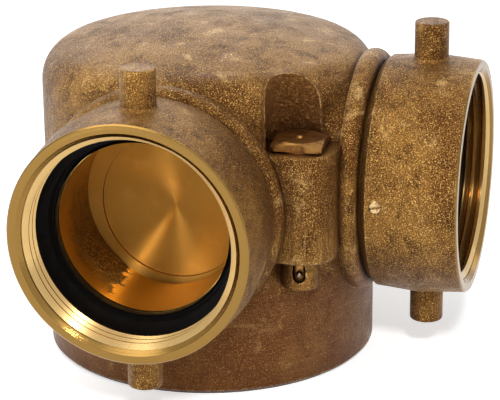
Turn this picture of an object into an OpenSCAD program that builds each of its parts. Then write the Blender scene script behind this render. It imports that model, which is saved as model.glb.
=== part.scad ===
// Fire department connection: two hose inlets at a right angle on one domed brass body.
// The frame: +Z up, origin at the centre of the outlet face, the hinge corner towards -Y.
// One double-faced clapper hangs between the inlets and closes the one without pressure.

/* [Body] */
// Outer diameter of the drum and its outlet collar
drum_d = 127.4; // [124:0.2:134]
// Height of the body to the top of its dome
body_h = 126; // [124:0.5:140]
// Wall of the drum and the dome
body_wall = 7.4; // [7.2:0.1:8]
// Radius of the shoulder between the drum and the dome
shoulder_r = 14; // [10:0.5:18]
// Radius of the crown of the dome
crown_r = 223; // [180:1:400]
// Bevel round the outlet edge
outlet_bevel = 1.6; // [0.5:0.1:2.5]

/* [Outlet] */
// Outside diameter of the pipe that screws into the outlet
pipe_d = 114.3; // [108:0.1:115]
// Depth of the outlet thread
outlet_depth = 30; // [20:0.5:30.5]

/* [Inlets] */
// Height of the inlet axes above the outlet face
inlet_z = 72.6; // [72.2:0.1:76]
// Largest diameter of the hose thread, from which the sizes of the inlets follow
hose_thread_d = 78; // [76:0.1:79]
// How much wider the sleeve under a swivel is than the thread
sleeve_step = 0.6; // [0:0.1:1]
// Wall of the sleeve round the waterway
sleeve_wall = 7.55; // [6:0.05:9]
// Length of the sleeve past the collar
sleeve_len = 15.5; // [14:0.5:16]
// Step from the sleeve out to the neck
neck_step = 4.1; // [3.8:0.1:5]
// Step from the neck out to the rounded collar behind the swivel
collar_step = 2.4; // [1.4:0.1:4]
// Length of the collar along the inlet axis
collar_len = 7.4; // [5.5:0.1:8]
// Rounding of the collar
collar_round = 5; // [3:0.1:5.2]
// How far the collar stands off the drum
collar_out = 4.1; // [3.6:0.1:8]
// Blend between the neck and the drum
neck_blend = 6; // [3:0.5:8]

/* [Swivels] */
// Length of a swivel
swivel_len = 35.8; // [33:0.2:44]
// Wall of a swivel outside its thread, where the mould parts
swivel_wall = 6.2; // [5.8:0.1:8]
// Draft of the cast swivel towards each end, in degrees
swivel_draft = 4.6; // [0:0.2:5]
// Distance from the rim of a swivel to the end of its thread
thread_len = 13.3; // [11:0.1:18]
// Bevel into the thread at the rim
entry_bevel = 1.6; // [0.8:0.1:2]
// Diameter of a spanner lug
lug_d = 12.7; // [10:0.1:14]
// How far a lug stands out of the swivel
lug_out = 13.8; // [8:0.1:20]
// Diameter of a bearing ball
ball_d = 4.76; // [4:0.02:5]
// Distance from the back of the swivel to its ball ring
ball_back = 6.2; // [5:0.1:7]
// Diameter of the slotted screw over the ball hole
plug_d = 5; // [4.9:0.1:6]

/* [Gaskets] */
// How far a hose gasket reaches under the thread
gasket_grip = 1.4; // [0.8:0.1:2]
// Width of a hose gasket from its outside to its hole
gasket_w = 8.4; // [6:0.1:10]
// Thickness of a hose gasket
gasket_t = 4.7; // [3:0.1:5.5]

/* [Clapper] */
// How far the clapper laps over its seat all round
clapper_lap = 4.25; // [3:0.05:4.4]
// Thickness of the clapper disc
clapper_t = 9.2; // [7:0.1:10]
// Width of the flat ring that seats
seat_ring_w = 8; // [5:0.1:12]
// Depth of the turned recess inside that ring
recess_depth = 1.2; // [0.4:0.1:2]
// How far the disc hangs below the inlet axis
clapper_drop = 2.2; // [0.5:0.1:2.5]
// How far the disc stands off the inlet axis towards its hinge
clapper_shift = 1.8; // [0.5:0.1:2]
// Outer diameter of the hinge barrel
barrel_d = 15.2; // [13.6:0.2:15.4]
// Height of the hinge barrel
barrel_h = 28; // [24:0.5:29]
// Height of the arm between the barrel and the disc
arm_h = 21; // [14:0.5:22]

/* [Hinge pin] */
// Distance from the edge of the disc to the hinge axis
hinge_out = 9.93; // [9.6:0.01:10.4]
// Diameter of the pin
pin_d = 8.8; // [7:0.1:9.2]
// Diameter of the screwed shank under the head
shank_d = 12.7; // [11:0.1:13]
// Width of the square head across its flats
head_w = 18.6; // [16:0.1:19]
// Height of the square head
head_h = 3.1; // [2.5:0.1:8]
// Thickness of the sealing washer
washer_t = 0.8; // [0.5:0.1:1.5]
// Diameter of the pin that locks the hinge pin
lock_d = 2.4; // [1.8:0.1:3]

/* [Hinge boss] */
// Metal round the hinge room, which makes the boss
boss_wall = 4; // [3.8:0.1:6]
// Height of the top of the boss above the inlet axes
boss_rise = 22.1; // [21.4:0.1:24]
// Depth of the bottom of the boss below the inlet axes
boss_drop = 18.6; // [18:0.1:21]
// Rounding of the edges of the boss and the stub
boss_round = 1.2; // [0.4:0.1:1.6]
// How much wider the niche above the boss is than the boss
niche_step = 0.4; // [0.2:0.1:1.6]
// Metal round the pin's lower end, which makes the stub
stub_wall = 2.6; // [2.2:0.1:3.6]
// Length of the stub under the boss
stub_len = 12.5; // [12:0.1:16]
// Width of the window in the stub
window_w = 4.8; // [4:0.1:5.4]
// Height of the window in the stub
window_h = 7.9; // [6:0.1:8.4]

/* [Hidden] */

$fn = 96;
ball_fn = 24;
blend_steps = 60;
blend_rows = 6;

cast_colour = [0.56, 0.42, 0.24];
turned_colour = [0.78, 0.62, 0.34];
rubber_colour = [0.08, 0.08, 0.08];
steel_colour = [0.70, 0.71, 0.72];
copper_colour = [0.72, 0.45, 0.30];

// Turn of each inlet about the body axis, from -Y
left_turn = -45;
right_turn = 45;

// Clearances
swivel_gap = 0.5;     // between the collar and the back of the swivel
run_clear = 0.08;     // radial, between the sleeve and the swivel
ball_clear = 0.1;     // round each ball
pin_clear = 0.1;      // radial, between the pin and the barrel
fixed_clear = 0.03;   // radial, round pieces that stay put
seat_gap = 0.27;      // between the clapper and its seat
gasket_gap = 0.15;    // between the sleeve and the gasket
swing_clear = 0.55;   // round the swinging clapper
barrel_clear = 0.8;   // round and above the hinge barrel
blend_sink = 0.25;    // how deep the edges of a blend lie in the metal
head_clear = 0.35;    // between the corners of the square head and the niche
flank_sink = 0.3;     // how deep the flanks of the boss lie inside its round front
past = 1;             // how far a cut runs past its face

// Small bevels and radii of the turned pieces
edge = 0.5;
lug_edge = 0.8;
back_bevel = 2.2;
head_bevel = 0.8;
barrel_bevel = 1;

// Drum and dome
drum_r = drum_d / 2;
shoulder_x = drum_r - shoulder_r;
crown_z = body_h - crown_r;
shoulder_z = crown_z + sqrt(pow(crown_r - shoulder_r, 2) - pow(shoulder_x, 2));
// Past the point where the shoulder's curve runs into the crown's, seen from the crown's centre
crown_edge = [0, crown_z] + [shoulder_x, shoulder_z - crown_z] * 1.2;

// Neck, collar and sleeve
sleeve_d = hose_thread_d + sleeve_step;
sleeve_r = sleeve_d / 2;
inlet_bore_d = sleeve_d - 2 * sleeve_wall;
neck_r = sleeve_r + neck_step;
collar_r = neck_r + collar_step;
collar_face = drum_r + collar_out;
sleeve_end = collar_face + sleeve_len;
blend_end = collar_face - 1.2;

// Clapper and hinge: the hinge axis is as far along each inlet axis as it is beside it
clapper_d = inlet_bore_d + 2 * clapper_lap;
clapper_r = clapper_d / 2;
recess_d = clapper_d - 2 * seat_ring_w;
clapper_z = inlet_z - clapper_drop;
clapper_arm = clapper_r + hinge_out;
hinge_side = clapper_shift + clapper_arm;
hinge_y = hinge_side * sqrt(2);
seat_t = hinge_side + clapper_t / 2 + seat_gap;
pocket_r = clapper_r + norm([clapper_shift, clapper_drop]) + swing_clear;
boss_top = inlet_z + boss_rise;
boss_bottom = inlet_z - boss_drop;
stub_bottom = boss_bottom - stub_len;
room_floor = boss_bottom + 4;
room_roof = boss_top - 5.2;
room_h = room_roof - room_floor;
room_r = barrel_d / 2 + barrel_clear;
slot_end = hinge_side - 2;
slot_more = 1;
barrel_z = room_floor + seat_gap;

// Boss, niche and stub
boss_d = barrel_d + 2 * barrel_clear + 2 * boss_wall;
boss_y = hinge_y + 2;
boss_side = boss_y / sqrt(2);
flank_face = boss_side + boss_d / 2 - flank_sink;
flank_start = sqrt(pow(neck_r, 2) - pow(max(boss_rise, boss_drop), 2)) - 3;
niche_d = boss_d + niche_step;
niche_wall = 3.6;
niche_floor = 3.5;
stub_d = pin_d + 2 * stub_wall;
pin_end = stub_bottom + 3.5;
head_turn = 47;
window_turn = -35;
window_z = stub_bottom + 3.3 + window_h / 2;
lock_z = window_z - 1;

// Swivel
swivel_d = hose_thread_d + 2 * swivel_wall;
swivel_back = collar_face + swivel_gap;
swivel_front = swivel_back + swivel_len;
swivel_mid = (swivel_back + swivel_front) / 2;
swivel_end_r = swivel_d / 2 - swivel_len / 2 * tan(swivel_draft);
rim_in_d = hose_thread_d + 2 * entry_bevel;
thread_end = swivel_front - thread_len;
gasket_back = sleeve_end + gasket_gap;
gasket_out_d = hose_thread_d + 2 * gasket_grip;
gasket_in_d = gasket_out_d - 2 * gasket_w;
groove_r = gasket_out_d / 2 + 0.2;
lug_reach = swivel_d / 2 + lug_out;
lug_root = groove_r + 0.5;

// Ball ring and its plug screw
ball_r = ball_d / 2;
ball_t = swivel_back + ball_back;
ball_ring_r = sleeve_r + run_clear / 2;
ball_count = floor(180 / asin((ball_r + ball_clear) / ball_ring_r));
plug_in = ball_ring_r + ball_r + 2 * ball_clear;
plug_out = swivel_d / 2 - (swivel_mid - ball_t) * tan(swivel_draft) + 0.3;
slot_w = 1;
slot_depth = 1.2;

// Put a shape that is drawn along +Z on an inlet axis
module on_inlet(turn) {
    translate([0, 0, inlet_z])
        rotate([0, 0, turn])
            rotate([90, 0, 0])
                children();
}

module at_hinge(z) {
    translate([0, -hinge_y, z]) children();
}

// Half section of the domed drum, thinned by inset
module dome_section(inset = 0) {
    intersection() {
        square([drum_r - inset, body_h - inset]);
        translate([0, crown_z]) circle(r = crown_r - inset, $fn = 720);
        union() {
            square([drum_r - inset, shoulder_z]);
            translate([shoulder_x, shoulder_z]) circle(r = shoulder_r - inset);
            polygon([[0, crown_z], crown_edge, [0, 2 * body_h]]);
        }
    }
}

// Where a ball that rolls round the neck and on the drum has its centre, at an angle a
function drum_reach(z, grow) =
    z < shoulder_z ? drum_r + grow
                   : shoulder_x + sqrt(pow(shoulder_r + grow, 2) - pow(z - shoulder_z, 2));
function roll_side(a) = (neck_r + neck_blend) * cos(a);
function roll_up(a) = (neck_r + neck_blend) * sin(a);
function roll_reach(a) = drum_reach(inlet_z + roll_up(a), neck_blend);
function roll_centre(a) =
    [roll_side(a), roll_up(a), sqrt(pow(roll_reach(a), 2) - pow(roll_side(a), 2))];
// Directions from that centre to the neck and to the drum
function to_neck(a) = [-cos(a), -sin(a), 0];
function to_drum(a) =
    let (c = roll_centre(a), over = inlet_z + c.y - shoulder_z, reach = roll_reach(a),
         flat = over > 0 ? (reach - shoulder_x) / (shoulder_r + neck_blend) : 1,
         rise = over > 0 ? over / (shoulder_r + neck_blend) : 0)
    [-flat * c.x / reach, -rise, -flat * c.z / reach];
function blend_row(a) =
    let (c = roll_centre(a), n = to_neck(a), d = to_drum(a), turn = acos(n * d))
    [
        for (i = [0:blend_rows])
            let (k = i / blend_rows)
            c + (neck_blend + blend_sink) * (sin((1 - k) * turn) * n + sin(k * turn) * d) / sin(turn),
        c + (neck_blend + 2) * d,
        c + (neck_blend + 2) * (n + d) / (1 + n * d),
        c + (neck_blend + 2) * n
    ];

// Concave blend between a neck and the drum, as a rolling ball leaves it
module neck_blending() {
    rows = [for (i = [0:blend_steps - 1]) blend_row(360 * i / blend_steps)];
    n = len(rows[0]);
    polyhedron(
        points = [for (row = rows) each row],
        faces = [
            for (i = [0:blend_steps - 1], j = [0:n - 1])
                let (i2 = (i + 1) % blend_steps, j2 = (j + 1) % n)
                each [[i * n + j, i2 * n + j, i2 * n + j2], [i * n + j, i2 * n + j2, i * n + j2]]
        ]
    );
}

module ball_groove() {
    translate([0, 0, ball_t])
        rotate_extrude()
            translate([ball_ring_r, 0]) circle(r = ball_r + ball_clear, $fn = 32);
}

module neck() {
    cylinder(r = neck_r, h = collar_face - collar_len / 2);
    rotate_extrude()
        intersection() {
            translate([0, collar_face - collar_len]) square([collar_r, collar_len]);
            union() {
                translate([collar_r - collar_round, collar_face - collar_round])
                    circle(r = collar_round);
                square([collar_r - collar_round, collar_face]);
            }
        }
    cylinder(r = sleeve_r, h = sleeve_end);
}

// Everything that is hollow from one inlet inwards: bore, clapper pocket and slot for the arm
module inlet_hollow(hinge_hand) {
    reach = seat_t - hinge_side / 2;
    translate([0, 0, hinge_side / 2]) {
        cylinder(r = pocket_r, h = reach);
        translate([min(0, hinge_hand * slot_end), room_floor - slot_more - inlet_z, 0])
            cube([slot_end, room_h + 2 * slot_more, reach]);
    }
    cylinder(d = inlet_bore_d, h = sleeve_end + past);
    ball_groove();
}

module chamber() {
    difference() {
        rotate_extrude()
            difference() {
                dome_section(body_wall);
                square([drum_r, outlet_depth]);
            }
        at_hinge(boss_top - niche_floor) cylinder(d = niche_d + 2 * niche_wall, h = body_h);
    }
}

// Upright round post of cast metal with its edges rounded off
module rounded_post(width, low, high) {
    rotate_extrude() {
        translate([0, low + boss_round]) square([width / 2, high - low - 2 * boss_round]);
        translate([0, low]) square([width / 2 - boss_round, high - low]);
        for (z = [low + boss_round, high - boss_round])
            translate([width / 2 - boss_round, z]) circle(r = boss_round, $fn = 32);
    }
}

// Flat flank that takes the boss over to one neck, square to that neck's axis
module boss_flank(hinge_hand) {
    low = boss_bottom + flank_sink / 2 - inlet_z;
    high = boss_top - flank_sink / 2 - inlet_z;
    translate([hinge_hand > 0 ? flank_start : -boss_side, 0, 0])
        rotate([90, 0, 90])
            linear_extrude(height = boss_side - flank_start) {
                translate([low, boss_side - 4])
                    square([high - low, flank_face - boss_side + 4 - boss_round]);
                translate([low + boss_round, boss_side - 4])
                    square([high - low - 2 * boss_round, flank_face - boss_side + 4]);
                for (x = [low + boss_round, high - boss_round])
                    translate([x, flank_face - boss_round]) circle(r = boss_round, $fn = 32);
            }
}

module stub_window() {
    at_hinge(window_z)
        rotate([0, 0, window_turn])
            rotate([90, 0, 0])
                linear_extrude(height = stub_d) {
                    for (end = [-1, 1])
                        translate([0, end * (window_h - window_w) / 2])
                            circle(d = window_w, $fn = 48);
                    square([window_w, window_h - window_w], center = true);
                }
}

module body() {
    color(cast_colour)
    difference() {
        union() {
            difference() {
                rotate_extrude() dome_section();
                outlet_edge();
            }
            for (turn = [left_turn, right_turn])
                on_inlet(turn) {
                    neck();
                    difference() {
                        neck_blending();
                        translate([0, 0, blend_end]) cylinder(r = body_h, h = drum_d);
                    }
                }
            translate([0, -boss_y, 0]) rounded_post(boss_d, boss_bottom, boss_top);
            on_inlet(left_turn) boss_flank(1);
            on_inlet(right_turn) boss_flank(-1);
            at_hinge(0) rounded_post(stub_d, stub_bottom, boss_bottom + boss_round + past);
        }
        chamber();
        translate([0, 0, -past]) cylinder(d = pipe_d, h = outlet_depth + 2 * past);
        on_inlet(left_turn) inlet_hollow(1);
        on_inlet(right_turn) inlet_hollow(-1);
        at_hinge(room_floor) cylinder(r = room_r, h = room_h);
        at_hinge(boss_top) cylinder(d = niche_d, h = body_h);
        at_hinge(room_floor + room_h / 2) cylinder(r = shank_d / 2 + fixed_clear, h = body_h);
        at_hinge(pin_end - fixed_clear) cylinder(r = pin_d / 2 + fixed_clear, h = room_h);
        stub_window();
    }
}

// Ring of waste that bevels the outer edge of the outlet face
module outlet_edge() {
    rotate_extrude()
        polygon([
            [drum_r - outlet_bevel, 0], [drum_r, outlet_bevel],
            [drum_r + past, outlet_bevel], [drum_r + past, -past],
            [drum_r - outlet_bevel, -past]
        ]);
}

// A spanner lug, cast in one with its swivel
module lug() {
    rotate([0, 0, 30])
    rotate_extrude()
        translate([0, lug_root]) {
            square([lug_d / 2, lug_reach - lug_root - lug_edge]);
            square([lug_d / 2 - lug_edge, lug_reach - lug_root]);
            translate([lug_d / 2 - lug_edge, lug_reach - lug_root - lug_edge])
                circle(r = lug_edge, $fn = 32);
        }
}

module swivel(turn) {
    color(cast_colour)
    on_inlet(turn)
    difference() {
        union() {
            rotate_extrude()
                polygon([
                    [sleeve_r, swivel_back],
                    [swivel_end_r - back_bevel * 0.8, swivel_back],
                    [swivel_end_r + back_bevel * tan(swivel_draft), swivel_back + back_bevel],
                    [swivel_d / 2, swivel_mid],
                    [swivel_end_r, swivel_front - edge],
                    [swivel_end_r - edge, swivel_front],
                    [rim_in_d / 2, swivel_front],
                    [hose_thread_d / 2, swivel_front - entry_bevel],
                    [hose_thread_d / 2, swivel_back]
                ]);
            for (tilt = [-90, 90])
                translate([0, 0, swivel_mid]) rotate([tilt, 0, 0]) lug();
        }
        cylinder(r = sleeve_r + run_clear, h = gasket_back);
        translate([0, 0, gasket_back]) cylinder(r = groove_r, h = thread_end - gasket_back);
        cylinder(d = hose_thread_d, h = swivel_front + past);
        ball_groove();
        translate([0, 0, ball_t])
            rotate([0, -90, 0])
                translate([0, 0, ball_ring_r]) cylinder(r = plug_d / 2 + fixed_clear, h = swivel_d);
    }
}

module gasket(turn) {
    color(rubber_colour)
    on_inlet(turn)
    translate([0, 0, gasket_back])
    difference() {
        cylinder(d = gasket_out_d, h = gasket_t);
        translate([0, 0, -past]) cylinder(d = gasket_in_d, h = gasket_t + 2 * past);
    }
}

module balls(turn) {
    color(steel_colour)
    on_inlet(turn)
    for (i = [0:ball_count - 1])
        rotate([0, 0, 360 * i / ball_count])
            translate([ball_ring_r, 0, ball_t]) sphere(d = ball_d, $fn = ball_fn);
}

// Slotted screw over the hole through which the balls go in
module ball_plug(turn) {
    color(turned_colour)
    on_inlet(turn)
    translate([0, 0, ball_t])
    rotate([0, -90, 0])
    difference() {
        rotate_extrude()
            polygon([
                [0, plug_in], [plug_d / 2, plug_in],
                [plug_d / 2, plug_out - edge], [plug_d / 2 - edge, plug_out],
                [0, plug_out]
            ]);
        rotate([0, 0, 15])
            translate([-plug_d, -slot_w / 2, plug_out - slot_depth])
                cube([2 * plug_d, slot_w, slot_depth + past]);
    }
}

// Clapper as it closes the left inlet: disc, hinge barrel and the arm that joins them
module clapper() {
    color(turned_colour)
    difference() {
        union() {
            translate([0, 0, clapper_z])
                rotate([0, 0, left_turn])
                    rotate([90, 0, 0])
                        translate([clapper_shift, 0, hinge_side]) {
                            rotate_extrude()
                                difference() {
                                    translate([0, -clapper_t / 2]) square([clapper_r, clapper_t]);
                                    for (face = [-1, 1])
                                        clapper_cuts(face);
                                }
                            translate([recess_d / 2 + 2, -arm_h / 2, -clapper_t / 2])
                                cube([clapper_arm - recess_d / 2 - 2, arm_h, clapper_t]);
                        }
            at_hinge(barrel_z)
                rotate_extrude()
                    polygon([
                        [0, 0], [barrel_d / 2 - barrel_bevel, 0],
                        [barrel_d / 2, barrel_bevel], [barrel_d / 2, barrel_h - barrel_bevel],
                        [barrel_d / 2 - barrel_bevel, barrel_h], [0, barrel_h]
                    ]);
        }
        at_hinge(barrel_z - past) cylinder(r = pin_d / 2 + pin_clear, h = barrel_h + 2 * past);
    }
}

// Waste of the turned recess and of the bevelled rim on one face of the clapper
module clapper_cuts(face) {
    translate([0, face * clapper_t / 2])
        square([recess_d, 2 * recess_depth], center = true);
    translate([clapper_r, face * clapper_t / 2])
        rotate(45) square(edge * sqrt(2), center = true);
}

module hinge_pin() {
    head_z = boss_top + washer_t;
    color(turned_colour)
    at_hinge(0) {
        difference() {
            intersection() {
                rotate([0, 0, head_turn])
                    translate([-head_w / 2, -head_w / 2, head_z]) cube([head_w, head_w, head_h]);
                translate([0, 0, head_z]) cylinder(r = niche_d / 2 - head_clear, h = head_h);
            }
            head_bevelling(head_z + head_h);
            translate([0, 0, head_z + head_h]) sphere(r = 1.6, $fn = 32);
        }
        translate([0, 0, room_roof]) cylinder(d = shank_d, h = head_z - room_roof);
        translate([0, 0, pin_end]) cylinder(d = pin_d, h = head_z - pin_end);
    }
}

// Waste that bevels the top of the square head, as a lathe leaves it
module head_bevelling(top) {
    rim = head_w / sqrt(2);
    rotate_extrude()
        polygon([
            [head_w / 2 - head_bevel, top], [rim + past, top - (rim + past - head_w / 2 + head_bevel) / 2],
            [rim + past, top + past], [head_w / 2 - head_bevel, top + past]
        ]);
}

module pin_washer() {
    color(copper_colour)
    at_hinge(boss_top)
    difference() {
        cylinder(d = head_w - 0.4, h = washer_t);
        translate([0, 0, -past]) cylinder(r = shank_d / 2 + fixed_clear, h = washer_t + 2 * past);
    }
}

module lock_pin() {
    color(steel_colour)
    at_hinge(lock_z)
        rotate([0, 0, window_turn])
            rotate([90, 0, 0]) {
                translate([0, 0, pin_d / 2 + fixed_clear]) cylinder(d = lock_d, h = 1.2);
                translate([0, 0, pin_d / 2 + fixed_clear + 1.2]) sphere(d = lock_d, $fn = 32);
            }
}

body();
swivel(left_turn);  // swivel_left
swivel(right_turn);  // swivel_right
gasket(left_turn);  // gasket_left
gasket(right_turn);  // gasket_right
balls(left_turn);  // balls_left
balls(right_turn);  // balls_right
ball_plug(left_turn);  // ball_plug_left
ball_plug(right_turn);  // ball_plug_right
clapper();
hinge_pin();
pin_washer();
lock_pin();
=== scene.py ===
"""Looks of a two-way fire department connection: threads, rubber, cast and turned brass, light and camera."""

import math

import bmesh
import bpy
from mathutils import Matrix, Vector


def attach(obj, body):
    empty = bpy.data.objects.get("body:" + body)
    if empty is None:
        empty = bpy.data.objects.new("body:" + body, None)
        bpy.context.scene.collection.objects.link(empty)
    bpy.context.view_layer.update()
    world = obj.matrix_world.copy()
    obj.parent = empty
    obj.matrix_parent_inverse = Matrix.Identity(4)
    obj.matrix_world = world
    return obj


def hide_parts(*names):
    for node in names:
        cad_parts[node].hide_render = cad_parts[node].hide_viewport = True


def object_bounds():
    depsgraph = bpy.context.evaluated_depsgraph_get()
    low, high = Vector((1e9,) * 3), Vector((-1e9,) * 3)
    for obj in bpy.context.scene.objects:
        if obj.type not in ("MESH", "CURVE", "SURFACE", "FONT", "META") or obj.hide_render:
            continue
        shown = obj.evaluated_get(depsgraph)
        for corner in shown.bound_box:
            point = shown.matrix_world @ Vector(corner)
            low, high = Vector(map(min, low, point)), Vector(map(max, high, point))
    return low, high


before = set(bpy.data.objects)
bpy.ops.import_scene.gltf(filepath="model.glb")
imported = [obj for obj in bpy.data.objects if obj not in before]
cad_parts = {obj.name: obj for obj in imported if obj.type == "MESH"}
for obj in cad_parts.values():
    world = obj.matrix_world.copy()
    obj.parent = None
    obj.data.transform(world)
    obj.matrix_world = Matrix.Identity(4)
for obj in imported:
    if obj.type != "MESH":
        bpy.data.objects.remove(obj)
cad_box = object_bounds()

MM = 0.001
WELD = 1e-6
SIDES = {"left": -45, "right": 45}

# Places on the fitting. What lies along an inlet is measured from the middle of the drum.
INLET_CENTRE = (0, 0, 72.6 * MM)
HINGE_Y = 67.5 * MM
BOSS_TOP = 94.7 * MM
BOSS_FACE_Y = -76 * MM
NICHE_R = 14 * MM
SKIRT_TOP = 52 * MM
SWIVEL_BORE_R = 41.5 * MM
SWIVEL_FRONT = 104.1 * MM
SLEEVE_BORE_R = 39.6 * MM
SLEEVE_BORE_START = 52 * MM
NECK_BORE_R = 34.5 * MM
HOSE_THREAD_END = 90.8 * MM


def inlet_frame(side):
    """Matrix that puts what is drawn along +Z on an inlet axis."""
    turn = Matrix.Rotation(math.radians(SIDES[side]), 4, "Z")
    return Matrix.Translation(INLET_CENTRE) @ turn @ Matrix.Rotation(math.radians(90), 4, "X")


def inlet_axis(side):
    return tuple((inlet_frame(side).to_3x3() @ Vector((0, 0, 1))).normalized())


# ---------------------------------------------------------------- node helpers


class Nodes:
    """Short way to add and link the nodes of one tree."""

    def __init__(self, tree):
        self.tree = tree
        self.column = 0

    def add(self, kind, **settings):
        node = self.tree.nodes.new(kind)
        node.location = (180 * self.column, -40 * (self.column % 7))
        self.column += 1
        for key, value in settings.items():
            setattr(node, key, value)
        return node

    def put(self, socket, value):
        if isinstance(value, bpy.types.NodeSocket):
            self.tree.links.new(value, socket)
        else:
            socket.default_value = value

    def fill(self, node, **values):
        """Sets inputs by name, with _ for a space."""
        for name, value in values.items():
            self.put(node.inputs[name.replace("_", " ")], value)

    def math(self, operation, *values):
        node = self.add("ShaderNodeMath", operation=operation)
        for socket, value in zip(node.inputs, values):
            self.put(socket, value)
        return node.outputs[0]

    def plus(self, first, *others):
        for other in others:
            first = self.math("ADD", first, other)
        return first

    def minus(self, first, second):
        return self.math("SUBTRACT", first, second)

    def times(self, first, *others):
        for other in others:
            first = self.math("MULTIPLY", first, other)
        return first

    def vector(self, operation, *values):
        node = self.add("ShaderNodeVectorMath", operation=operation)
        for socket, value in zip(node.inputs, values):
            self.put(socket, value)
        return node.outputs["Value" if operation in ("DOT_PRODUCT", "LENGTH") else 0]

    def about_axis(self, place, point, axis):
        """How far a place is along an axis, and the arm that reaches it square to the axis."""
        arm = self.vector("SUBTRACT", place, point)
        along = self.vector("DOT_PRODUCT", arm, axis)
        foot = self.add("ShaderNodeVectorMath", operation="SCALE")
        self.put(foot.inputs[0], axis)
        self.put(foot.inputs["Scale"], along)
        return along, self.vector("SUBTRACT", arm, foot.outputs[0])

    def split(self, place):
        node = self.add("ShaderNodeSeparateXYZ")
        self.put(node.inputs[0], place)
        return node.outputs["X"], node.outputs["Y"], node.outputs["Z"]

    def join(self, x, y=0.0, z=0.0):
        node = self.add("ShaderNodeCombineXYZ")
        self.fill(node, X=x, Y=y, Z=z)
        return node.outputs[0]

    def stretch(self, place, scale):
        node = self.add("ShaderNodeMapping")
        self.fill(node, Vector=place, Scale=scale)
        return node.outputs[0]

    def ramp(self, value, low, high, start=0.0, end=1.0):
        """What runs from low to high becomes start to end, eased at both ends."""
        node = self.add("ShaderNodeMapRange", interpolation_type="SMOOTHSTEP")
        self.fill(node, Value=value, From_Min=low, From_Max=high, To_Min=start, To_Max=end)
        return node.outputs["Result"]

    def mix(self, factor, a, b):
        node = self.add("ShaderNodeMix", data_type="RGBA")
        self.put(node.inputs["Factor"], factor)
        self.put(node.inputs[6], a)
        self.put(node.inputs[7], b)
        return node.outputs[2]

    def noise(self, place, scale, detail=2.0, rough=0.5, distort=0.0):
        node = self.add("ShaderNodeTexNoise")
        self.fill(node, Vector=place, Scale=scale, Detail=detail, Roughness=rough, Distortion=distort)
        return node.outputs["Fac"]

    def cells(self, place, scale):
        node = self.add("ShaderNodeTexVoronoi", feature="F1")
        self.fill(node, Vector=place, Scale=scale)
        return node.outputs["Distance"]

    def bump(self, height, strength, distance):
        node = self.add("ShaderNodeBump")
        self.fill(node, Height=height, Strength=strength, Distance=distance)
        return node.outputs["Normal"]

    def group(self, tree, **values):
        node = self.add("ShaderNodeGroup", node_tree=tree)
        self.fill(node, **values)
        return node.outputs


def new_group(name, inputs, outputs, kind="ShaderNodeTree"):
    tree = bpy.data.node_groups.new(name, kind)
    for label, socket, value in inputs:
        made = tree.interface.new_socket(label, in_out="INPUT", socket_type=socket)
        if value is not None:
            made.default_value = value
    for label, socket in outputs:
        tree.interface.new_socket(label, in_out="OUTPUT", socket_type=socket)
    n = Nodes(tree)
    return tree, n, n.add("NodeGroupInput").outputs, n.add("NodeGroupOutput")


def new_material(name):
    """A material with its own Principled shader, and the position on the piece."""
    material = bpy.data.materials.new(name)
    material.use_nodes = True
    n = Nodes(material.node_tree)
    shader = next(node for node in material.node_tree.nodes if node.type == "BSDF_PRINCIPLED")
    position = n.add("ShaderNodeTexCoord").outputs["Object"]
    return material, n, shader, position


# ---------------------------------------------------------------- colours of the metal and rubber


def colour(r, g, b):
    """A colour given as it looks on screen, 0 to 255."""
    def straight(v):
        v /= 255
        return v / 12.92 if v <= 0.04045 else ((v + 0.055) / 1.055) ** 2.4

    return (straight(r), straight(g), straight(b), 1)


SKIN_BROWN = colour(91, 55, 24)
SKIN_YELLOW = colour(135, 96, 47)
STAIN_DARK = colour(66, 37, 18)
STAIN_PALE = colour(222, 182, 118)
# Bright sand grains, partly painted glints.
GRAIN_BRIGHT_AND_GLINT = colour(228, 184, 104)
GRAIN_DARK = colour(70, 40, 18)
# Grime with painted shade, near walls up to 24 mm away.
GRIME_AND_PAINTED_SHADE_WIDE = colour(82, 48, 24)
# Grime with painted shade, in tight corners.
GRIME_AND_PAINTED_SHADE_NARROW = colour(54, 28, 12)
# Painted shade in the slots and corners of small parts.
PAINTED_SHADE_IN_SLOTS = colour(34, 22, 12)
# Handling wear with a painted highlight on outer edges.
WORN_EDGE_AND_HIGHLIGHT = colour(244, 206, 140)

TURNED_SWIVEL = colour(138, 107, 56)
TURNED_BORE = colour(214, 174, 92)
TURNED_RING = colour(154, 116, 58)
RING_SHADE = colour(150, 104, 46)
CLOUD_SHADE = colour(178, 126, 66)
THREAD_TINT = colour(206, 174, 116)
CLAPPER_TINT = colour(144, 101, 40)

SKIRT_BROWN = colour(98, 57, 33)
SKIRT_SCRATCH = colour(150, 106, 66)
SKIRT_STREAK = colour(96, 54, 32)
FILE_MARK_DARK = colour(92, 56, 30)
FILE_MARK_BRIGHT = colour(214, 168, 104)
# Coarse cast brown, partly painted shade of the recess.
NICHE_BROWN_AND_SHADE = colour(112, 72, 38)
NICHE_GLINT = colour(196, 148, 92)
PATCH_DARK = colour(70, 38, 14)
PATCH_GLINT = colour(224, 168, 72)

RUBBER_BLACK = colour(10, 8, 7)
RUBBER_DUST = colour(26, 21, 18)


# ---------------------------------------------------------------- shared shader groups


def make_place_group():
    """Where a point is about an inlet: its distance from the axis and its distance along it."""
    tree, n, given, out = new_group(
        "Inlet place",
        [("Position", "NodeSocketVector", None), ("Axis", "NodeSocketVector", None)],
        [("Out", "NodeSocketFloat"), ("Along", "NodeSocketFloat")],
    )
    along, across = n.about_axis(given["Position"], INLET_CENTRE, given["Axis"])
    n.fill(out, Out=n.vector("LENGTH", across), Along=along)
    return tree


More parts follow.
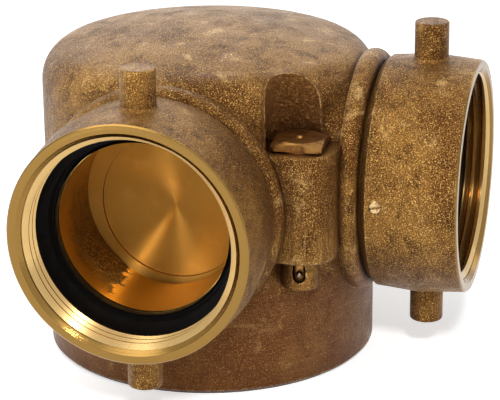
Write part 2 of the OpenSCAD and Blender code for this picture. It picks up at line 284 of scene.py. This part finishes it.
def make_cast_group():
    """Sand-cast skin: colour, roughness and height. The bright grains are partly painted glints."""
    tree, n, given, out = new_group(
        "Sand cast skin",
        [("Position", "NodeSocketVector", None)],
        [("Color", "NodeSocketColor"), ("Roughness", "NodeSocketFloat"), ("Height", "NodeSocketFloat")],
    )
    place = given["Position"]
    clouds = n.noise(place, 28, 4, 0.6)
    blotch = n.noise(place, 95, 5, 0.65, 0.4)
    lumps = n.noise(place, 330, 3, 0.6)
    grains = n.noise(place, 2200, 3, 0.7)
    fine = n.noise(place, 4200, 1, 0.5)
    pits = n.cells(place, 1300)
    skin = n.mix(n.ramp(clouds, 0.36, 0.64), SKIN_BROWN, SKIN_YELLOW)
    skin = n.mix(n.ramp(blotch, 0.49, 0.66, 0, 0.85), skin, STAIN_DARK)
    skin = n.mix(n.ramp(blotch, 0.44, 0.26, 0, 0.6), skin, STAIN_PALE)
    # Bright sand grains, partly painted glints.
    skin = n.mix(n.ramp(grains, 0.53, 0.66, 0, 0.9), skin, GRAIN_BRIGHT_AND_GLINT)
    skin = n.mix(n.ramp(grains, 0.49, 0.37, 0, 0.65), skin, GRAIN_DARK)
    rough = n.plus(n.ramp(blotch, 0.3, 0.7, 0.29, 0.44), n.ramp(fine, 0.35, 0.65, -0.06, 0.07))
    height = n.plus(n.times(grains, 0.8), n.times(fine, 0.3), n.ramp(pits, 0.0, 0.35, -0.2, 0),
                    n.times(lumps, 0.9))
    n.fill(out, Color=skin, Roughness=rough, Height=height)
    return tree


def make_lathe_group():
    """Tool marks round an axis: fine rings by the distance given, with a slow change between them."""
    tree, n, given, out = new_group(
        "Lathe marks",
        [("Distance", "NodeSocketFloat", 0.0), ("Pitch", "NodeSocketFloat", 0.35 * MM)],
        [("Height", "NodeSocketFloat"), ("Tint", "NodeSocketFloat")],
    )
    turns = n.math("DIVIDE", given["Distance"], given["Pitch"])
    fine = n.noise(n.join(turns), 1.0, 3, 0.7)
    slow = n.noise(n.join(n.times(turns, 0.12)), 1.0, 2, 0.5)
    n.fill(out, Height=fine, Tint=n.plus(n.times(fine, 0.6), n.times(slow, 0.4)))
    return tree


INLET_PLACE = make_place_group()
CAST_SKIN = make_cast_group()
LATHE_MARKS = make_lathe_group()


def at_inlet(n, position, side):
    return n.group(INLET_PLACE, Position=position, Axis=inlet_axis(side))


def dirt_and_shade_in_corners(n, distance):
    """Dirt and painted shade in corners, as a mask."""
    node = n.add("ShaderNodeAmbientOcclusion", samples=6, only_local=False)
    n.fill(node, Distance=distance)
    return n.ramp(node.outputs["AO"], 0.35, 0.85, 1.0, 0.0)


def edge_wear_and_highlight(n, radius):
    """Outer edges worn bright by handling, with a painted edge highlight, as a mask."""
    rounded = n.add("ShaderNodeBevel", samples=4)
    n.fill(rounded, Radius=radius)
    plain = n.add("ShaderNodeNewGeometry").outputs["Normal"]
    return n.ramp(n.vector("DOT_PRODUCT", rounded.outputs[0], plain), 0.985, 0.90, 0.0, 1.0)


# ---------------------------------------------------------------- cast and turned brass


def cast_over_turned(name, turned_mask, turned, extra=None):
    """Cast skin, with turned metal where the mask is 1."""
    material, n, shader, position = new_material(name)
    cast = n.group(CAST_SKIN, Position=position)
    mask, marks = turned_mask(n, position)
    skin, rough, height = cast["Color"], cast["Roughness"], cast["Height"]
    if extra is not None:
        skin, height = extra(n, position, skin, height)
    corner = dirt_and_shade_in_corners(n, 6 * MM)
    # Painted edge highlight on outer edges, with handling wear, broken up by noise and kept out of corners.
    worn_and_highlit = n.times(edge_wear_and_highlight(n, 0.9 * MM), n.ramp(corner, 0.5, 0.2),
                     n.ramp(n.noise(position, 520, 3, 0.7), 0.42, 0.60))
    # Painted shade with some grime darkens the metal near walls up to 24 mm away.
    skin = n.mix(n.times(dirt_and_shade_in_corners(n, 24 * MM), 0.7), skin, GRIME_AND_PAINTED_SHADE_WIDE)
    skin = n.mix(n.times(worn_and_highlit, 0.75), skin, WORN_EDGE_AND_HIGHLIGHT)
    # Grime and painted shade in tight corners, within 6 mm.
    skin = n.mix(n.times(corner, 0.75), skin, GRIME_AND_PAINTED_SHADE_NARROW)
    metal = n.mix(n.ramp(marks["Tint"], 0.35, 0.65, 0, 0.3), turned, TURNED_RING)
    unturned = n.minus(1.0, mask)
    relief = n.plus(n.times(height, unturned), n.times(marks["Height"], 0.12, mask))
    n.fill(shader, Base_Color=n.mix(mask, skin, metal), Metallic=1.0, Normal=n.bump(relief, 1.0, 0.6 * MM),
           Roughness=n.plus(n.times(rough, unturned), n.times(mask, 0.18)))
    return material


def swivel_metal(side):
    def turned(n, position):
        """The bore and the front rim of a swivel."""
        place = at_inlet(n, position, side)
        bore = n.ramp(place["Out"], SWIVEL_BORE_R + 0.1 * MM, SWIVEL_BORE_R - 0.1 * MM)
        rim = n.ramp(place["Along"], SWIVEL_FRONT - 0.7 * MM, SWIVEL_FRONT - 0.5 * MM)
        return n.math("MAXIMUM", bore, rim), n.group(LATHE_MARKS, Distance=place["Out"])

    return cast_over_turned("swivel_brass_" + side, turned, TURNED_SWIVEL)


def rough_patch(n, position):
    """Cast patch low on the left bore, which the boring bar missed: ragged along its edge."""
    arm = n.vector("SUBTRACT", position, INLET_CENTRE)
    sideways = n.vector("DOT_PRODUCT", arm, (0.7071, -0.7071, 0))
    upwards = n.vector("DOT_PRODUCT", arm, (0, 0, 1))
    along = n.vector("DOT_PRODUCT", arm, inlet_axis("left"))
    ragged = n.times(n.minus(n.noise(position, 260, 5, 0.8), 0.5), 0.6)
    angle = n.math("ARCTAN2", n.times(upwards, -1.0), n.times(sideways, -1.0))
    angle = n.plus(angle, ragged)
    round_bore = n.times(n.ramp(angle, -0.7, 0.6), n.ramp(angle, 1.10, 1.04))
    ragged_end = n.plus(along, n.times(ragged, 20 * MM))
    down_bore = n.times(n.ramp(along, 50 * MM, 51 * MM), n.ramp(ragged_end, 82 * MM, 66 * MM))
    return n.times(round_bore, down_bore)


def turned_bores(n, position):
    """The bores of both sleeves, without the patch that stayed as cast."""
    places = [at_inlet(n, position, side) for side in SIDES]
    bores = [n.times(n.ramp(place["Out"], SLEEVE_BORE_R + 0.1 * MM, SLEEVE_BORE_R - 0.1 * MM),
                     n.ramp(place["Along"], SLEEVE_BORE_START, SLEEVE_BORE_START + 0.4 * MM))
             for place in places]
    bored = n.math("MAXIMUM", *bores)
    missed = n.times(rough_patch(n, position), n.ramp(bored, 0.0, 1.0))
    return n.minus(bored, missed), n.group(LATHE_MARKS, Distance=places[0]["Along"], Pitch=0.6 * MM)


def scratched_skirt(n, position, skin, height):
    """Browner metal near the outlet, scratched all round."""
    up = n.split(position)[2]
    streaks = n.noise(n.stretch(position, (55, 55, 1500)), 1.0, 5, 0.7, 0.2)
    wavering = n.plus(up, n.times(n.noise(position, 60, 3), 12 * MM))
    low = n.ramp(wavering, SKIRT_TOP, SKIRT_TOP - 12 * MM)
    brown = n.mix(n.ramp(streaks, 0.5, 0.72, 0, 0.6), SKIRT_BROWN, SKIRT_SCRATCH)
    brown = n.mix(n.ramp(streaks, 0.46, 0.32, 0, 0.55), brown, SKIRT_STREAK)
    return n.mix(n.times(low, 0.62), skin, brown), n.plus(height, n.times(streaks, low, 0.5))


def filed_boss(n, position, skin, height):
    """File marks down the front of the hinge boss."""
    _, y, up = n.split(position)
    marks = n.noise(n.stretch(position, (620, 620, 40)), 1.0, 4, 0.7, 0.3)
    uneven = n.plus(up, n.times(marks, 12 * MM))
    boss = n.times(n.ramp(y, BOSS_FACE_Y + 4 * MM, BOSS_FACE_Y), n.ramp(uneven, 84 * MM, 78 * MM))
    skin = n.mix(n.times(boss, n.ramp(marks, 0.46, 0.34), 0.8), skin, FILE_MARK_DARK)
    skin = n.mix(n.times(boss, n.ramp(marks, 0.55, 0.72), 0.7), skin, FILE_MARK_BRIGHT)
    return skin, n.plus(height, n.times(marks, boss, 1.2))


def crinkled_niche(n, position, skin, height):
    """The niche over the hinge boss, left coarse by the sand, with painted shade and painted glints."""
    arm = n.vector("SUBTRACT", position, (0, -HINGE_Y, 0))
    out = n.vector("LENGTH", n.vector("MULTIPLY", arm, (1, 1, 0)))
    over_boss = n.ramp(n.split(position)[2], BOSS_TOP - 0.3 * MM, BOSS_TOP + 0.6 * MM)
    niche = n.times(n.ramp(out, NICHE_R, NICHE_R - 0.3 * MM), over_boss)
    crinkle = n.noise(position, 620, 4, 0.7, 0.6)
    # Painted shade of the recess over coarse cast brown, and painted glints on the crinkles.
    skin = n.mix(n.times(niche, 0.6), skin, NICHE_BROWN_AND_SHADE)
    skin = n.mix(n.times(niche, n.ramp(crinkle, 0.54, 0.66, 0, 0.6)), skin, NICHE_GLINT)
    return skin, n.plus(height, n.times(crinkle, niche, 3.2))


def unbored_patch(n, position, skin, height):
    """Dark cast metal with painted glints on its grains, where the left bore wasn't cut."""
    bore = n.ramp(at_inlet(n, position, "left")["Out"], NECK_BORE_R, NECK_BORE_R - 0.5 * MM)
    missed = n.times(rough_patch(n, position), bore)
    sparkle = n.ramp(n.noise(position, 1500, 3, 0.7), 0.5, 0.64)
    return n.mix(missed, skin, n.mix(sparkle, PATCH_DARK, PATCH_GLINT)), height


def body_details(n, position, skin, height):
    for detail in (scratched_skirt, filed_boss, crinkled_niche, unbored_patch):
        skin, height = detail(n, position, skin, height)
    return skin, height


def turned_metal(name, centre, axis, tint, rough, ring, anisotropy, faced):
    """Metal turned about an axis, its gloss stretched outwards if faced, else along the axis."""
    material, n, shader, position = new_material(name)
    _, across = n.about_axis(position, centre, axis)
    marks = n.group(LATHE_MARKS, Distance=n.vector("LENGTH", across), Pitch=ring)
    clouds = n.noise(position, 120, 3, 0.6)
    base = n.mix(n.ramp(marks["Tint"], 0.3, 0.7, 0, 0.5), tint, RING_SHADE)
    base = n.mix(n.ramp(clouds, 0.5, 0.75, 0, 0.25), base, CLOUD_SHADE)
    gloss_way = n.add("ShaderNodeVectorTransform", vector_type="VECTOR",
                      convert_from="OBJECT", convert_to="WORLD")
    n.put(gloss_way.inputs[0], n.vector("NORMALIZE", across) if faced else axis)
    n.fill(shader, Base_Color=base, Metallic=1.0, Anisotropic=anisotropy, Tangent=gloss_way.outputs[0],
           Roughness=n.ramp(marks["Tint"], 0.3, 0.7, rough - 0.02, rough + 0.02),
           Normal=n.bump(marks["Height"], 0.10, 0.1 * MM))
    return material


def clapper_metal():
    """The disc's rings stand a little off the inlet axis, as the casting sat in the chuck."""
    centre = inlet_frame("left") @ Vector((1.8 * MM, -2.2 * MM, 47.7 * MM))
    return turned_metal("clapper_brass", tuple(centre), inlet_axis("left"), CLAPPER_TINT,
                        rough=0.40, ring=0.5 * MM, anisotropy=0.98, faced=True)


def hose_thread_metal(side):
    return turned_metal("hose_thread_brass_" + side, INLET_CENTRE, inlet_axis(side), THREAD_TINT,
                        rough=0.22, ring=0.45 * MM, anisotropy=0.6, faced=False)


def rubber():
    material, n, shader, position = new_material("gasket_rubber_black")
    dust = n.noise(position, 400, 4, 0.7)
    n.fill(shader, Base_Color=n.mix(n.ramp(dust, 0.55, 0.8, 0, 0.5), RUBBER_BLACK, RUBBER_DUST),
           Roughness=n.ramp(dust, 0.3, 0.7, 0.42, 0.6), Specular_IOR_Level=0.18,
           Normal=n.bump(n.noise(position, 1400, 2), 0.25, 0.1 * MM))
    return material


def small_hardware(name, tint, shade, rough, scale):
    """Small hard parts: clouded tint with fine scratches, and painted shade in slots and corners."""
    material, n, shader, position = new_material(name)
    clouds = n.noise(position, scale, 4, 0.65)
    scratches = n.noise(position, scale * 9, 2, 0.6, 1.5)
    base = n.mix(n.ramp(clouds, 0.4, 0.7), tint, shade)
    # Painted shade darkens the slots and corners.
    n.fill(shader, Base_Color=n.mix(dirt_and_shade_in_corners(n, 0.9 * MM), base, PAINTED_SHADE_IN_SLOTS), Metallic=1.0,
           Roughness=n.ramp(scratches, 0.3, 0.7, rough - 0.06, rough + 0.08),
           Normal=n.bump(scratches, 0.2, 0.1 * MM))
    return material


def dress(node, material):
    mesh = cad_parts[node].data
    mesh.materials.clear()
    mesh.materials.append(material)


BODY_METAL = cast_over_turned("cast_body_brass", turned_bores, TURNED_BORE, extra=body_details)
SWIVEL_METAL = {side: swivel_metal(side) for side in SIDES}
HOSE_THREAD_METAL = {side: hose_thread_metal(side) for side in SIDES}
RUBBER = rubber()
STEEL = small_hardware("bearing_steel_bright", colour(190, 190, 192), colour(140, 138, 136), 0.22, 300)
PLUG_METAL = small_hardware("screw_brass", colour(214, 186, 138), colour(150, 112, 66), 0.26, 500)

dress("body", BODY_METAL)
for side in SIDES:
    dress("swivel_" + side, SWIVEL_METAL[side])
    dress("gasket_" + side, RUBBER)
    dress("balls_" + side, STEEL)
    dress("ball_plug_" + side, PLUG_METAL)
dress("clapper", clapper_metal())
dress("hinge_pin", small_hardware("pin_head_brass", colour(160, 116, 62), colour(100, 66, 34), 0.36, 260))
dress("pin_washer", small_hardware("washer_metal", colour(196, 140, 84), colour(140, 90, 50), 0.3, 300))
dress("lock_pin", small_hardware("lock_pin_steel", colour(150, 132, 112), colour(90, 70, 52), 0.3, 400))


# ---------------------------------------------------------------- threads, by Geometry Nodes


def by_corner(n, corner, values):
    """One of the values, by the corner of the ridge's outline."""
    node = n.add("GeometryNodeIndexSwitch", data_type="FLOAT")
    while len(node.index_switch_items) < len(values):
        node.index_switch_items.new()
    n.put(node.inputs["Index"], corner)
    for socket, value in zip(node.inputs[1:], values):
        socket.default_value = value
    return node.outputs[0]


def thread_tree():
    """A ridge that winds up a bore: six corners across, faded out at both ends."""
    tree, n, given, out = new_group(
        "Thread ridge",
        [("Root radius", "NodeSocketFloat", 39 * MM), ("Crest radius", "NodeSocketFloat", 37 * MM),
         ("Pitch", "NodeSocketFloat", 3.4 * MM), ("Start", "NodeSocketFloat", 0.0),
         ("Length", "NodeSocketFloat", 12 * MM), ("Steps", "NodeSocketInt", 320),
         ("Fade", "NodeSocketFloat", 0.4), ("Metal", "NodeSocketMaterial", None)],
        [("Geometry", "NodeSocketGeometry")], "GeometryNodeTree")
    rises = (-0.2, -0.02, 1, 1, -0.02, -0.2)
    shifts = (0, -0.46, -0.08, 0.08, 0.46, 0)
    grid = n.add("GeometryNodeMeshGrid")
    n.fill(grid, Size_X=1, Size_Y=1, Vertices_X=given["Steps"], Vertices_Y=len(rises))
    x, y, _ = n.split(n.add("GeometryNodeInputPosition").outputs[0])
    way = n.plus(x, 0.5)
    corner = n.math("ROUND", n.times(n.plus(y, 0.5), len(rises) - 1))
    rise = by_corner(n, corner, rises)
    shift = by_corner(n, corner, shifts)

    turns = n.math("DIVIDE", given["Length"], given["Pitch"])
    nearest_end = n.times(n.math("MINIMUM", way, n.minus(1.0, way)), turns)
    fade = n.ramp(nearest_end, 0.0, given["Fade"])
    depth = n.minus(given["Root radius"], given["Crest radius"])
    sunk = n.times(depth, 0.2)
    lift = n.times(n.plus(n.times(rise, depth), sunk), fade)
    radius = n.minus(n.plus(given["Root radius"], sunk), lift)
    height = n.plus(given["Start"], n.times(way, given["Length"]), n.times(shift, given["Pitch"], fade))
    angle = n.times(way, turns, 2 * math.pi)
    spot = n.join(n.times(radius, n.math("COSINE", angle)), n.times(radius, n.math("SINE", angle)), height)

    wound = n.add("GeometryNodeSetPosition")
    n.fill(wound, Geometry=grid.outputs["Mesh"], Position=spot)
    closed = n.add("GeometryNodeMergeByDistance")
    n.fill(closed, Geometry=wound.outputs[0], Distance=WELD)
    real = n.add("GeometryNodeRealizeInstances")
    n.put(real.inputs[0], closed.outputs[0])
    metal = n.add("GeometryNodeSetMaterial")
    n.fill(metal, Geometry=real.outputs[0], Material=given["Metal"])
    n.put(out.inputs[0], metal.outputs[0])
    return tree


def piece(name, mesh, place, crease, material=None):
    """A new object at the origin, placed in its mesh, faces outwards, and sharp past a crease in degrees."""
    mesh.name = name
    mesh.transform(place)
    work = bmesh.new()
    work.from_mesh(mesh)
    bmesh.ops.remove_doubles(work, verts=work.verts, dist=WELD / 10)
    bmesh.ops.recalc_face_normals(work, faces=work.faces)
    work.to_mesh(mesh)
    work.free()
    if material is not None:
        mesh.materials.clear()
        mesh.materials.append(material)
    thing = bpy.data.objects.new(name, mesh)
    bpy.context.collection.objects.link(thing)
    mesh.shade_smooth()
    mesh.set_sharp_from_angle(angle=math.radians(crease))
    return thing


def grow(name, tree, place, **sizes):
    """Runs a Geometry Nodes tree and keeps its result as a plain mesh, set in place."""
    seed = bpy.data.objects.new(name + "_seed", bpy.data.meshes.new(name + "_seed"))
    bpy.context.collection.objects.link(seed)
    modifier = seed.modifiers.new("made", "NODES")
    modifier.node_group = tree
    sockets = {socket.name: socket.identifier for socket in tree.interface.items_tree
               if socket.item_type == "SOCKET" and socket.in_out == "INPUT"}
    for key, value in sizes.items():
        modifier[sockets[key.replace("_", " ")]] = value
    bpy.context.view_layer.update()
    mesh = bpy.data.meshes.new_from_object(seed.evaluated_get(bpy.context.evaluated_depsgraph_get()))
    seed.modifiers.remove(modifier)
    bpy.data.objects.remove(seed)
    return piece(name, mesh, place, crease=35)


THREAD = thread_tree()
for side in SIDES:
    cut = grow("hose_thread_" + side, THREAD, inlet_frame(side), Root_radius=39 * MM, Crest_radius=36.95 * MM,
               Pitch=3.387 * MM, Start=HOSE_THREAD_END + 0.5 * MM, Length=11.3 * MM, Steps=330, Fade=0.35,
               Metal=HOSE_THREAD_METAL[side])
    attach(cut, "swivel_" + side)
pipe = grow("pipe_thread", THREAD, Matrix(), Root_radius=57.35 * MM, Crest_radius=55.1 * MM,
            Pitch=3.175 * MM, Start=1.6 * MM, Length=27 * MM, Steps=840, Fade=0.5, Metal=BODY_METAL)
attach(pipe, "body")


# ---------------------------------------------------------------- moulded gaskets and the roots of the lugs


def closed_tube(name, rows, material, place):
    """Mesh from rows of points that go round a closed path, each row itself a closed loop."""
    count, around = len(rows), len(rows[0])
    points = [tuple(point) for row in rows for point in row]
    faces = [(i * around + j, ((i + 1) % count) * around + j,
              ((i + 1) % count) * around + (j + 1) % around, i * around + (j + 1) % around)
             for i in range(count) for j in range(around)]
    mesh = bpy.data.meshes.new(name)
    mesh.from_pydata(points, [], faces)
    return piece(name, mesh, place, crease=50, material=material)


def rounded_corner(x, z, radius, start, steps=6):
    """Points of a quarter circle about (x, z), from a start angle in degrees."""
    angles = [math.radians(start + 90 * k / steps) for k in range(steps + 1)]
    return [(x + radius * math.cos(angle), z + radius * math.sin(angle)) for angle in angles]


def moulded_gasket(side):
    """Hose gasket, rounded at the back. In front, a cove leaves a thin lip round its hole."""
    inner, outer, back, front = 32.02 * MM, 40.38 * MM, 83.47 * MM, 88.13 * MM
    cove, edge, bead = 1.5 * MM, 0.5 * MM, 0.25 * MM
    turns = 160
    outline = [(inner + cove + 1.2 * MM, front - bead), (inner + cove + 0.5 * MM, front - bead / 5)]
    outline += rounded_corner(inner + cove, front - cove, cove, 180)[::-1]
    outline += rounded_corner(inner + edge, back + edge, edge, 180)
    outline += rounded_corner(outer - edge, back + edge, edge, 270)
    outline += [(outer, front - bead)]
    rows = []
    for i in range(turns):
        angle = 2 * math.pi * i / turns
        rows.append([(r * math.cos(angle), r * math.sin(angle), along) for r, along in outline])
    return closed_tube("moulded_gasket_" + side, rows, RUBBER, inlet_frame(side))


def lug_root(name, side, turn):
    """Fillet where a ball that rolls round a lug also touches the swivel."""
    swivel_r, lug_r, ball, middle = 45.2 * MM, 6.35 * MM, 1.6 * MM, 86.2 * MM
    proud, buried = 0.04 * MM, 1.0 * MM
    draft = math.radians(4.6)
    turns, bends = 96, 7
    rows = []
    for i in range(turns):
        a = 2 * math.pi * i / turns
        along, beside = (lug_r + ball) * math.cos(a), (lug_r + ball) * math.sin(a)
        reach = swivel_r - abs(along) * math.tan(draft) + ball / math.cos(draft)
        centre = Vector((beside, math.sqrt(reach ** 2 - beside ** 2), middle + along))
        to_lug = Vector((-math.sin(a), 0, -math.cos(a)))
        to_swivel = Vector((-centre.x, -centre.y, 0)).normalized()
        to_swivel = (to_swivel - Vector((0, 0, math.cos(a) * math.sin(draft)))).normalized()
        bend = math.acos(max(-1, min(1, to_lug.dot(to_swivel))))
        row = []
        for k in range(bends + 1):
            part = k / bends
            way = math.sin((1 - part) * bend) * to_lug + math.sin(part * bend) * to_swivel
            row.append(centre + (ball + proud) * way / math.sin(bend))
        row.append(centre + (ball + buried) * to_swivel)
        row.append(centre + (ball + buried) * (to_lug + to_swivel) / (1 + to_lug.dot(to_swivel)))
        row.append(centre + (ball + buried) * to_lug)
        rows.append(row)
    place = inlet_frame(side) @ Matrix.Rotation(math.radians(turn), 4, "Z")
    return closed_tube(name, rows, SWIVEL_METAL[side], place)


for side in SIDES:
    ring = moulded_gasket(side)
    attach(ring, "swivel_" + side)
    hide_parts("gasket_" + side)
    for label, turn in (("upper", 0), ("lower", 180)):
        root = lug_root("lug_root_" + label + "_" + side, side, turn)
        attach(root, "swivel_" + side)


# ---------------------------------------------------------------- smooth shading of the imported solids


def soften_tree():
    """Joins the loose triangles and shades them smooth up to a crease, given in radians."""
    tree, n, given, out = new_group(
        "Soft shading",
        [("Geometry", "NodeSocketGeometry", None), ("Crease", "NodeSocketFloat", 0.5)],
        [("Geometry", "NodeSocketGeometry")], "GeometryNodeTree")
    merged = n.add("GeometryNodeMergeByDistance")
    n.fill(merged, Geometry=given["Geometry"], Distance=2 * WELD)
    bare = n.add("GeometryNodeRemoveAttribute")
    n.fill(bare, Geometry=merged.outputs[0], Name="custom_normal")
    sharp = n.add("FunctionNodeCompare", data_type="FLOAT", operation="GREATER_THAN")
    n.put(sharp.inputs[0], n.add("GeometryNodeInputMeshEdgeAngle").outputs["Unsigned Angle"])
    n.put(sharp.inputs[1], given["Crease"])
    smooth = n.add("GeometryNodeSetShadeSmooth", domain="FACE")
    n.fill(smooth, Geometry=bare.outputs[0])
    creased = n.add("GeometryNodeSetShadeSmooth", domain="EDGE")
    n.fill(creased, Geometry=smooth.outputs[0], Selection=sharp.outputs[0], Shade_Smooth=False)
    n.put(out.inputs[0], creased.outputs[0])
    return tree


SOFT = soften_tree()
for name in ("body", "swivel_left", "swivel_right"):
    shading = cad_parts[name].modifiers.new("soft shading", "NODES")
    shading.node_group = SOFT


# ---------------------------------------------------------------- floor, light and camera


def seen_white(n):
    """1 where the eye meets the backdrop, straight or mirrored in metal or through glass."""
    path = n.add("ShaderNodeLightPath").outputs
    mirrored = n.math("MAXIMUM", path["Is Glossy Ray"], path["Is Transmission Ray"])
    return n.math("MAXIMUM", path["Is Camera Ray"], mirrored)


def white_floor(half_width, under_part):
    """Pale floor that keeps the shadow near the part and turns white away from it."""
    mesh = bpy.data.meshes.new("floor")
    corners = [(x * half_width, y * half_width, 0) for x, y in ((-1, -1), (1, -1), (1, 1), (-1, 1))]
    mesh.from_pydata(corners, [], [(0, 1, 2, 3)])
    floor = bpy.data.objects.new("floor", mesh)
    bpy.context.collection.objects.link(floor)
    floor.location.z = cad_box[0][2] - under_part
    paint, n, shader, position = new_material("floor_white")
    glow = n.ramp(n.vector("LENGTH", position), 0.5, 2.2, 0.62, 1.0)
    n.fill(shader, Base_Color=(0.80, 0.80, 0.80, 1), Roughness=0.9, Specular_IOR_Level=0.1,
           Emission_Color=(1, 1, 1, 1), Emission_Strength=n.times(seen_white(n), glow))
    mesh.materials.append(paint)
    return floor


def soft_lamp(name, place, aim_height, width, height, power):
    """Rectangular lamp that points at the drum's axis, in metres and watts."""
    lamp = bpy.data.lights.new(name, "AREA")
    lamp.shape = "RECTANGLE"
    lamp.size = width
    lamp.size_y = height
    lamp.energy = power
    thing = bpy.data.objects.new(name, lamp)
    bpy.context.collection.objects.link(thing)
    thing.location = place
    thing.rotation_euler = (Vector((0, 0, aim_height)) - Vector(place)).to_track_quat("-Z", "Y").to_euler()


def studio_world():
    """White to the eye and in the metal. As light it is dim, and stronger from behind and from the left."""
    world = bpy.data.worlds.new("studio")
    world.use_nodes = True
    n = Nodes(world.node_tree)
    direction = n.add("ShaderNodeTexCoord").outputs["Generated"]
    from_behind = n.ramp(n.vector("DOT_PRODUCT", direction, (-0.40, 0.60, 0.69)), -0.30, 0.80, 0.002, 0.05)
    from_left = n.ramp(n.vector("DOT_PRODUCT", direction, (-0.88, 0.46, 0.10)), 0.45, 0.95, 0.0, 0.035)
    strength = n.math("MAXIMUM", n.plus(from_behind, from_left), seen_white(n))
    n.fill(world.node_tree.nodes["Background"], Color=(1, 1, 1, 1), Strength=strength)
    return world


def aimed_camera(target, distance, azimuth, elevation, roll, lens):
    """Camera that looks at a target, turned by angles in degrees."""
    data = bpy.data.cameras.new("camera")
    data.sensor_width = 36
    data.lens = lens
    camera = bpy.data.objects.new("camera", data)
    bpy.context.collection.objects.link(camera)
    az, el, tilt = math.radians(azimuth), math.radians(elevation), math.radians(roll)
    back = Vector((math.sin(az) * math.cos(el), -math.cos(az) * math.cos(el), math.sin(el)))
    right = (-back).cross(Vector((0, 0, 1))).normalized()
    up = right.cross(-back)
    rolled_right = math.cos(tilt) * right + math.sin(tilt) * up
    rolled_up = -math.sin(tilt) * right + math.cos(tilt) * up
    look = Matrix((rolled_right, rolled_up, back)).transposed().to_4x4()
    look.translation = Vector(target) + distance * back
    camera.matrix_world = look
    return camera


floor = white_floor(half_width=5.0, under_part=0.05 * MM)

soft_lamp("sky_lamp", (-0.45, 0.15, 1.15), aim_height=0.08, width=1.0, height=0.9, power=7.5)
soft_lamp("back_lamp", (0.30, 1.40, 0.62), aim_height=0.10, width=1.9, height=0.7, power=4)
soft_lamp("left_lamp", (-1.30, -0.50, 0.42), aim_height=0.07, width=0.30, height=0.7, power=4)
soft_lamp("right_lamp", (1.1, 0.1, 0.5), aim_height=0.06, width=0.35, height=0.7, power=0.8)
soft_lamp("front_lamp", (-0.49, -1.09, 0.97), aim_height=0.07, width=0.15, height=0.15, power=14)

scene = bpy.context.scene
scene.world = studio_world()
scene.camera = aimed_camera(target=(17.58 * MM, 0, 51.26 * MM), distance=0.8086, azimuth=-29.68,
                            elevation=19.22, roll=-0.51, lens=146.9)
scene.view_settings.view_transform = "Standard"
